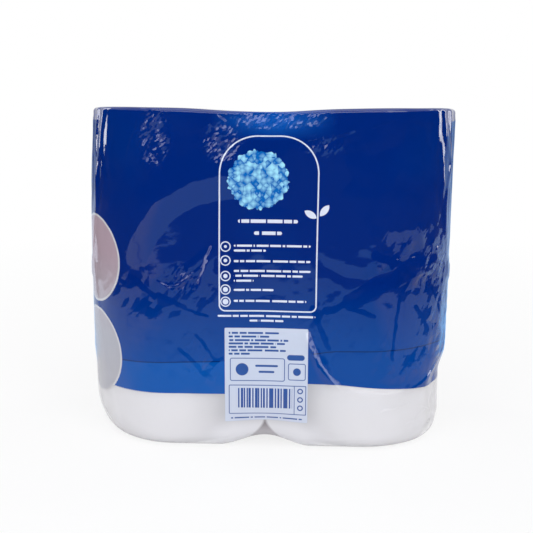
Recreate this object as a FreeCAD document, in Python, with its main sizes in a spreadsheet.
import FreeCAD
import Part
import Sketcher
import math
import os

# A pack of four toilet rolls, two wide and two high, wrapped in one sheet of thin film.
# Millimetres, +Z up. The origin is the middle of the base, and the side that the photograph
# shows faces -Y. The rolls stand upright, so from above the pack is a long round-ended shape.

# Driving dimensions, each set once.
SIZES = {
    # paper rolls
    "roll_diameter": 106,
    "roll_height": 95,
    "roll_edge_soft": 4.7,
    "tail_step": 0.6,
    # cardboard cores
    "core_diameter": 42,
    "core_wall": 0.8,
    "core_clearance": 0.15,
    # how the rolls stand in the film
    "side_gap": 0.3,
    "layer_gap": 0.2,
    "film_gap": 0.3,
    "film_wall": 0.4,
    # the film runs in a wider round than the paper at the bottom, and is creased round the top
    "bottom_round_slack": 1.8,
    "top_crease": 2.2,
    # the film is drawn in where the two stacks meet at the bottom and top edges
    "bottom_pinch_depth": 8.6,
    "bottom_pinch_half_width": 15,
    "top_pinch_depth": 5.5,
    "top_pinch_half_width": 30,
    # folded ends: a lower flap, an upper flap over it, the seal that joins them, the gathers
    "fold_layer": 0.6,
    "flap_shoulder": 3,
    "lower_flap_reach": 104,
    "lower_flap_tip": 46,
    "upper_flap_reach": 100,
    "upper_flap_tip": 30,
    "seal_height": 9,
    "seal_width": 22,
    "gather_width": 3.2,
    "gather_pitch": 11,
    "gather_first": 12,
    "gather_reach": 78,
    "gather_lean": 5,
}
GATHERS = 3

# Sizes that follow from the driving ones.
LOBE_PITCH = "(sizes.roll_diameter + sizes.side_gap)"
LOBE_RADIUS = "(sizes.roll_diameter / 2 + sizes.film_gap + sizes.film_wall)"
BOTTOM_ROUND = "(sizes.roll_edge_soft + sizes.bottom_round_slack)"
PACK_HEIGHT = "(2 * sizes.roll_height + 3 * sizes.layer_gap + 2 * sizes.film_wall)"
BORE_RADIUS = "(sizes.core_diameter / 2 + sizes.core_clearance)"
TAIL_BASE_RADIUS = "(sizes.roll_diameter / 2 - sizes.tail_step)"
# how much a crease at 45 degrees shrinks for each millimetre that the form is inset
CREASE_SHARE = 2 - math.sqrt(2)

# where each roll's loose tail ends, in degrees about its own axis, at the back of the pack
TAIL_TURN = {
    "lower_left": 70,
    "lower_right": 120,
    "upper_left": 105,
    "upper_right": 55,
}
UP = FreeCAD.Vector(0, 0, 1)
ALONG_X = FreeCAD.Vector(1, 0, 0)

doc = FreeCAD.newDocument("toilet_roll_pack")
sheet = doc.addObject("Spreadsheet::Sheet", "sizes")
for row, (alias, number) in enumerate(SIZES.items(), 1):
    sheet.set("A%d" % row, alias)
    sheet.set("B%d" % row, str(number))
    sheet.setAlias("B%d" % row, alias)
doc.recompute()


def point(x, y):
    return FreeCAD.Vector(x, y, 0)


def new_body(name):
    return doc.addObject("PartDesign::Body", name)


def new_sketch(body, name, role, offset=None):
    """A sketch on one of the body's own planes, moved by expressions in its own x, y and z."""
    sketch = body.newObject("Sketcher::SketchObject", name)
    plane = next(part for part in body.Origin.OriginFeatures if part.Role == role)
    sketch.AttachmentSupport = (plane, [""])
    sketch.MapMode = "FlatFace"
    for axis, expression in (offset or {}).items():
        sketch.setExpression("AttachmentOffset.Base." + axis, expression)
    return sketch


def bind(sketch, name, constraint, expression):
    """Add a dimension to a sketch and tie it to the sheet."""
    index = sketch.addConstraint(constraint)
    sketch.renameConstraint(index, name)
    sketch.setExpression("Constraints." + name, expression)


def draw_outline(sketch, name, places):
    """A closed outline of straight lines. Each place is two expressions, across and up. It is
    drawn as a regular shape first, and the dimensions then bring every corner to its place."""
    count = len(places)
    start = SIZES["roll_height"] / 2
    corners = []
    for number in range(count):
        turn = 2 * math.pi * (number + 0.5) / count - math.pi
        corners.append(point(start * math.cos(turn), start * (1.5 + math.sin(turn))))
    lines = [
        sketch.addGeometry(Part.LineSegment(corner, corners[(number + 1) % count]))
        for number, corner in enumerate(corners)
    ]
    for number, line in enumerate(lines):
        following = lines[(number + 1) % count]
        sketch.addConstraint(Sketcher.Constraint("Coincident", line, 2, following, 1))
    for number, (line, corner, (across, up)) in enumerate(zip(lines, corners, places)):
        label = "%s_%d_" % (name, number)
        bind(sketch, label + "across", Sketcher.Constraint("DistanceX", -1, 1, line, 1, corner.x), across)
        bind(sketch, label + "up", Sketcher.Constraint("DistanceY", -1, 1, line, 1, corner.y), up)


def add_pad(body, name, sketch, length):
    pad = body.newObject("PartDesign::Pad", name)
    pad.Profile = sketch
    pad.setExpression("Length", length)
    return pad


def add_turned(body, name, sketch):
    """A full turn of a sketch about its own vertical axis."""
    feature = body.newObject("PartDesign::Revolution", name)
    feature.Profile = sketch
    feature.ReferenceAxis = (sketch, ["V_Axis"])
    feature.Angle = 360
    return feature


def edges_at(shape, level):
    """The names of the edges that lie level at one height."""
    return [
        "Edge%d" % number
        for number, edge in enumerate(shape.Edges, 1)
        if all(abs(vertex.Z - level) < 1e-6 for vertex in edge.Vertexes)
        and abs(edge.CenterOfMass.z - level) < 1e-6
    ]


def pack_form(name, inset, bottom_edge=None):
    """The outline of the pack as a solid: round ends joined by flat sides, round at the bottom
    and creased at the top. It is inset by a wall, or grown by folded layers where the inset is
    negative. The inside of the film is cut straight at the bottom, as the paper's edge is."""
    body = new_body(name)
    plan = new_sketch(body, name + "_plan", "XY_Plane", {"z": inset})
    radius = SIZES["roll_diameter"] / 2
    quarter = math.pi / 2
    right = plan.addGeometry(Part.ArcOfCircle(Part.Circle(point(radius, 0), UP, radius), -quarter, quarter))
    back = plan.addGeometry(Part.LineSegment(point(radius, radius), point(-radius, radius)))
    left = plan.addGeometry(
        Part.ArcOfCircle(Part.Circle(point(-radius, 0), UP, radius), quarter, 3 * quarter))
    front = plan.addGeometry(Part.LineSegment(point(-radius, -radius), point(radius, -radius)))
    loop = (right, back, left, front)
    for number, piece in enumerate(loop):
        plan.addConstraint(Sketcher.Constraint("Tangent", piece, 2, loop[(number + 1) % 4], 1))
    plan.addConstraint(Sketcher.Constraint("PointOnObject", right, 3, -1))
    plan.addConstraint(Sketcher.Constraint("PointOnObject", left, 3, -1))
    plan.addConstraint(Sketcher.Constraint("Equal", right, left))
    half_pitch = LOBE_PITCH + " / 2"
    bind(plan, "right_axis", Sketcher.Constraint("DistanceX", -1, 1, right, 3, radius), half_pitch)
    bind(plan, "left_axis", Sketcher.Constraint("DistanceX", left, 3, -1, 1, radius), half_pitch)
    bind(plan, "radius", Sketcher.Constraint("Radius", right, radius), "%s - %s" % (LOBE_RADIUS, inset))
    block = add_pad(body, name + "_block", plan, "%s - 2 * %s" % (PACK_HEIGHT, inset))
    doc.recompute()
    box = block.Shape.BoundBox
    bottom_edge = bottom_edge or ("Fillet", "Radius", "%s - %s" % (BOTTOM_ROUND, inset))
    top_edge = ("Chamfer", "Size", "sizes.top_crease - %s * %.6f" % (inset, CREASE_SHARE))
    feature = block
    for level, (kind, dimension, expression) in ((box.ZMin, bottom_edge), (box.ZMax, top_edge)):
        edges = edges_at(feature.Shape, level)
        dressed = body.newObject("PartDesign::" + kind, "%s_%s" % (name, kind.lower()))
        dressed.Base = (feature, edges)
        dressed.setExpression(dimension, expression)
        doc.recompute()
        feature = dressed
    return body


def pinch(name, end, inset):
    """The tuck that is drawn into the front edge where the stacks meet: a V, lying at 45 degrees
    across the edge, and moved in by a wall for the inside of the film. Its pair is at the back."""
    depth = "sizes.%s_pinch_depth" % end
    half_width = "sizes.%s_pinch_half_width" % end
    move = "%s * sqrt(1 + (%s / %s) ^ 2) / sqrt(2)" % (inset, depth, half_width)
    wedge = doc.addObject("Part::Wedge", "%s_%s_front" % (name, end))
    for side, sign in (("min", "-"), ("max", "")):
        wedge.setExpression("X" + side, sign + half_width)
        wedge.setExpression("Z" + side, "%s2 * %s" % (sign, depth))
        wedge.setExpression("Z2" + side, "%s2 * %s" % (sign, depth))
    wedge.Xmin, wedge.X2min, wedge.X2max, wedge.Ymin = -1, 0, 0, 0
    wedge.setExpression("Ymax", depth)
    upright = 1 if end == "bottom" else -1
    wedge.Placement = FreeCAD.Placement(FreeCAD.Vector(), FreeCAD.Rotation(ALONG_X, 45 * upright))
    wedge.setExpression("Placement.Base.y", "-%s + %s" % (LOBE_RADIUS, move))
    level = move if end == "bottom" else "%s - %s" % (PACK_HEIGHT, move)
    wedge.setExpression("Placement.Base.z", level)
    return [wedge, mirrored(wedge.Name.replace("front", "back"), wedge, (0, 1, 0))]


def mirrored(name, source, normal):
    mirror = doc.addObject("Part::Mirroring", name)
    mirror.Source = source
    mirror.Normal = FreeCAD.Vector(*normal)
    return mirror


def pinched_form(name, inset, bottom_edge=None):
    """The outline of the pack with the edges drawn in between the stacks."""
    tucks = doc.addObject("Part::MultiFuse", name + "_tucks")
    tucks.Shapes = pinch(name, "bottom", inset) + pinch(name, "top", inset)
    form = doc.addObject("Part::Cut", name)
    form.Base = pack_form(name + "_whole", inset, bottom_edge)
    form.Tool = tucks
    return form


def laid_on(name, layers, outlines):
    """Film lying on the right-hand end: the pack's form grown by some layers, inside outlines
    that are drawn looking along X. Each outline is a list of places, across and up."""
    over = new_body(name + "_over")
    sketch = new_sketch(over, name + "_outline", "YZ_Plane", {"z": LOBE_PITCH + " / 2"})
    for number, places in enumerate(outlines):
        draw_outline(sketch, "loop_%d" % number, places)
    add_pad(over, name + "_reach", sketch, "%s + %d * sizes.fold_layer" % (LOBE_RADIUS, layers + 1))
    common = doc.addObject("Part::Common", name)
    common.Base = pack_form(name + "_form", "-%d * sizes.fold_layer" % layers)
    common.Tool = over
    return common


def flap_places(far, root, shoulder, tip_level, tip):
    """A flap from the edge that it is folded over, as wide as the end there, to its narrow tip."""
    half_tip = "sizes.%s / 2" % tip
    return [
        ("-" + far, root), (far, root), (far, shoulder),
        (half_tip, tip_level), ("-" + half_tip, tip_level), ("-" + far, shoulder),
    ]


def make_end_fold():
    """The folded film on the right-hand end."""
    far = "(%s + 4 * sizes.fold_layer)" % LOBE_RADIUS
    top_shoulder = "%s - sizes.top_crease - sizes.flap_shoulder" % PACK_HEIGHT
    upper_tip = "(%s - sizes.upper_flap_reach)" % PACK_HEIGHT
    lower = laid_on("lower_flap", 1, [flap_places(
        far, "0", BOTTOM_ROUND + " + sizes.flap_shoulder", "sizes.lower_flap_reach", "lower_flap_tip")])
    upper = laid_on("upper_flap", 2, [flap_places(
        far, PACK_HEIGHT, top_shoulder, upper_tip, "upper_flap_tip")])
    seal_half = "sizes.seal_width / 2"
    seal_top = upper_tip + " + sizes.seal_height"
    raised = [[
        ("-" + seal_half, upper_tip), (seal_half, upper_tip),
        (seal_half, seal_top), ("-" + seal_half, seal_top),
    ]]
    for sign in ("-1", "1"):
        for number in range(GATHERS):
            root = "(sizes.gather_first + %d * sizes.gather_pitch)" % number
            foot = "(%s - sizes.gather_lean)" % root
            low = "%s - sizes.gather_reach * %d / %d" % (PACK_HEIGHT, number + 1, GATHERS)
            raised.append([
                ("%s * %s" % (sign, foot), low),
                ("%s * (%s + sizes.gather_width / 4)" % (sign, foot), low),
                ("%s * (%s + sizes.gather_width)" % (sign, root), top_shoulder),
                ("%s * %s" % (sign, root), top_shoulder),
            ])
    fold = doc.addObject("Part::MultiFuse", "right_end_fold")
    fold.Shapes = [lower, upper, laid_on("gathers", 3, raised)]
    return fold


def make_film_wrapper():
    """One sheet of film: the lobed form and its folded ends, less the space for the rolls."""
    right = make_end_fold()
    outside = doc.addObject("Part::MultiFuse", "wrapped_form")
    outside.Shapes = [pinched_form("outer_form", "0"), right, mirrored("left_end_fold", right, (1, 0, 0))]
    wrapper = doc.addObject("Part::Cut", "film_wrapper")
    wrapper.Base = outside
    wrapper.Tool = pinched_form("inner_form", "sizes.film_wall", ("Chamfer", "Size", "sizes.roll_edge_soft"))
    return wrapper


def place(piece, side, layer):
    """Stand a roll or a core in its stack: side -1 or 1, layer 0 or 1."""
    piece.setExpression("Placement.Base.x", "%d * %s / 2" % (side, LOBE_PITCH))
    piece.setExpression(
        "Placement.Base.z",
        "sizes.film_wall + sizes.layer_gap + %d * (sizes.roll_height + sizes.layer_gap)" % layer)


def make_roll(where, side, layer):
    """A wound roll: a soft edge at the end that the film presses, a square one where the stacked
    rolls meet, a loose tail along its last half turn, and the bore that its core fills."""
    roll = new_body("roll_" + where)
    section = new_sketch(roll, "section_" + where, "XZ_Plane")
    inner_edge = "%s - sizes.roll_edge_soft" % TAIL_BASE_RADIUS
    if layer == 0:
        outline = [(inner_edge, "0"), (TAIL_BASE_RADIUS, "sizes.roll_edge_soft"),
                   (TAIL_BASE_RADIUS, "sizes.roll_height")]
        straight = ("sizes.roll_edge_soft", "sizes.roll_height - sizes.roll_edge_soft")
    else:
        outline = [(TAIL_BASE_RADIUS, "0"),
                   (TAIL_BASE_RADIUS, "sizes.roll_height - sizes.roll_edge_soft"),
                   (inner_edge, "sizes.roll_height")]
        straight = ("0", "sizes.roll_height - sizes.roll_edge_soft")
    draw_outline(section, "section", [("0", "0")] + outline + [("0", "sizes.roll_height")])
    add_turned(roll, "turned_" + where, section)

    last_turn = new_sketch(roll, "last_turn_" + where, "XY_Plane", {"z": straight[0]})
    radius = SIZES["roll_diameter"] / 2
    step = SIZES["tail_step"]
    sheet_arc = last_turn.addGeometry(
        Part.ArcOfCircle(Part.Circle(point(step, 0), UP, radius - step), 0, math.pi))
    chord = last_turn.addGeometry(Part.LineSegment(point(2 * step - radius, 0), point(radius, 0)))
    last_turn.addConstraint(Sketcher.Constraint("Coincident", sheet_arc, 2, chord, 1))
    last_turn.addConstraint(Sketcher.Constraint("Coincident", chord, 2, sheet_arc, 1))
    for which in (1, 2, 3):
        last_turn.addConstraint(Sketcher.Constraint("PointOnObject", sheet_arc, which, -1))
    bind(last_turn, "shift", Sketcher.Constraint("DistanceX", -1, 1, sheet_arc, 3, step), "sizes.tail_step")
    bind(last_turn, "radius", Sketcher.Constraint("Radius", sheet_arc, radius - step), TAIL_BASE_RADIUS)
    add_pad(roll, "tail_" + where, last_turn, straight[1])

    round_hole = new_sketch(roll, "bore_outline_" + where, "XY_Plane")
    circle = round_hole.addGeometry(Part.Circle(point(0, 0), UP, SIZES["core_diameter"] / 2))
    round_hole.addConstraint(Sketcher.Constraint("Coincident", circle, 3, -1, 1))
    bind(round_hole, "radius", Sketcher.Constraint("Radius", circle, SIZES["core_diameter"] / 2), BORE_RADIUS)
    bore = roll.newObject("PartDesign::Pocket", "bore_" + where)
    bore.Profile = round_hole
    bore.Reversed = True
    bore.setExpression("Length", "sizes.roll_height")
    roll.Placement = FreeCAD.Placement(FreeCAD.Vector(), FreeCAD.Rotation(UP, TAIL_TURN[where]))
    place(roll, side, layer)
    return roll


def make_core(where, side, layer):
    """A cardboard tube, as long as its roll."""
    outside = doc.addObject("Part::Cylinder", "core_outside_" + where)
    outside.setExpression("Radius", "sizes.core_diameter / 2")
    outside.setExpression("Height", "sizes.roll_height")
    inside = doc.addObject("Part::Cylinder", "core_inside_" + where)
    inside.setExpression("Radius", "sizes.core_diameter / 2 - sizes.core_wall")
    inside.setExpression("Height", "sizes.roll_height")
    core = doc.addObject("Part::Cut", "core_" + where)
    core.Base = outside
    core.Tool = inside
    place(core, side, layer)
    return core


subparts = [make_film_wrapper()]
for layer, layer_name in enumerate(("lower", "upper")):
    for side, side_name in ((-1, "left"), (1, "right")):
        where = layer_name + "_" + side_name
        subparts.append(make_roll(where, side, layer))
        subparts.append(make_core(where, side, layer))
doc.recompute()

for thing in doc.Objects:
    if "Invalid" in thing.State or "Error" in thing.State:
        raise RuntimeError("%s failed: %s" % (thing.Name, thing.State))
for subpart in subparts:
    subpart.Label = subpart.Name
    shape = subpart.Shape
    if shape.isNull() or not shape.isValid() or not shape.Solids:
        raise RuntimeError("%s has no valid solid" % subpart.Label)

os.makedirs("parts", exist_ok=True)
for subpart in subparts:
    subpart.Shape.exportStep("parts/%s.step" % subpart.Label)
    print("%-18s %d solid(s), %3d faces, volume %9.1f mm3" % (
        subpart.Label, len(subpart.Shape.Solids), len(subpart.Shape.Faces), subpart.Shape.Volume))
